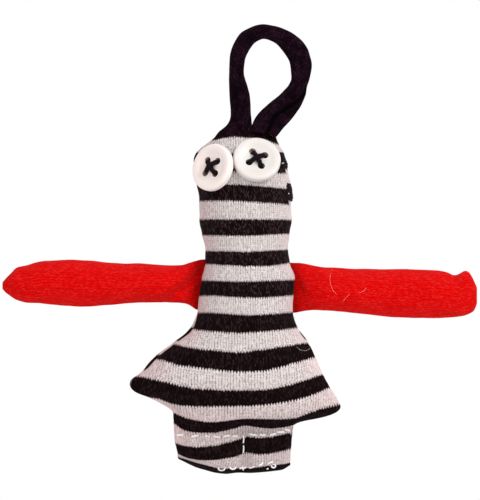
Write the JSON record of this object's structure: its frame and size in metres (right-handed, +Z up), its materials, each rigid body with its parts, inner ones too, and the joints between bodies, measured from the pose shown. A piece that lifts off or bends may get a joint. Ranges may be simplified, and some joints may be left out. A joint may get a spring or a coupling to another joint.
{
  "type": "hanging plush doll",
  "caption": "Small hand-sewn hanging doll of striped knit, with a loop on its head, button eyes, stuffed red arms and a short foot block.",
  "frame": {"origin": "the inside top of the hanging loop, where a hook carries the doll", "axes": "+Z up as the doll hangs, -Y towards the viewer of its face, +X to the right in that view"},
  "size_m": [0.181, 0.0279, 0.1705],
  "materials": {
    "black_knit": "matte",
    "striped_knit": "matte",
    "red_knit": "matte",
    "stuffing": "matte",
    "button": "satin",
    "black_thread": "matte"
  },
  "bodies": {
    "loop": {"hanging_loop": "black_knit"},
    "torso": {"body_front_panel": "striped_knit", "body_back_panel": "striped_knit", "head_stuffing": "stuffing", "chest_stuffing": "stuffing", "skirt_stuffing": "stuffing", "left_eye_button": "button", "left_eye_thread": "black_thread", "right_eye_button": "button", "right_eye_thread": "black_thread"},
    "feet": {"foot_front_panel": "striped_knit", "foot_back_panel": "striped_knit", "left_foot_stuffing": "stuffing", "right_foot_stuffing": "stuffing"},
    "left_shoulder": {"left_arm_root": "red_knit"},
    "left_arm": {"left_arm_sleeve": "red_knit", "left_arm_stuffing": "stuffing"},
    "right_shoulder": {"right_arm_root": "red_knit"},
    "right_arm": {"right_arm_sleeve": "red_knit", "right_arm_stuffing": "stuffing"}
  },
  "joints": [
    {"name": "loop_fold", "type": "hinge", "parent": "loop", "child": "torso", "pos_m": [0, 0, -0.0331], "axis": [1, 0, 0], "range_deg": [-75, 75]},
    {"name": "hip_fold", "type": "hinge", "parent": "torso", "child": "feet", "pos_m": [0, 0, -0.15015], "axis": [-1, 0, 0], "range_deg": [-60, 60]},
    {"name": "left_arm_fold", "type": "hinge", "parent": "torso", "child": "left_shoulder", "pos_m": [-0.02326, 0, -0.0841], "axis": [0.1247, 0, 0.9922], "range_deg": [-75, 75], "stiffness_Nm_per_rad": 0.01},
    {"name": "left_arm_raise", "type": "hinge", "parent": "left_shoulder", "child": "left_arm", "pos_m": [-0.03342, 0, -0.09335], "axis": [0, 1, 0], "range_deg": [-35, 45], "stiffness_Nm_per_rad": 0.012, "springref_deg": 3.44},
    {"name": "right_arm_fold", "type": "hinge", "parent": "torso", "child": "right_shoulder", "pos_m": [0.01061, 0, -0.0851], "axis": [0.0839, 0, -0.9965], "range_deg": [-75, 75], "stiffness_Nm_per_rad": 0.01},
    {"name": "right_arm_raise", "type": "hinge", "parent": "right_shoulder", "child": "right_arm", "pos_m": [0.0204, 0, -0.0945], "axis": [0, -1, 0], "range_deg": [-35, 45], "stiffness_Nm_per_rad": 0.012, "springref_deg": 3.44}
  ]
}
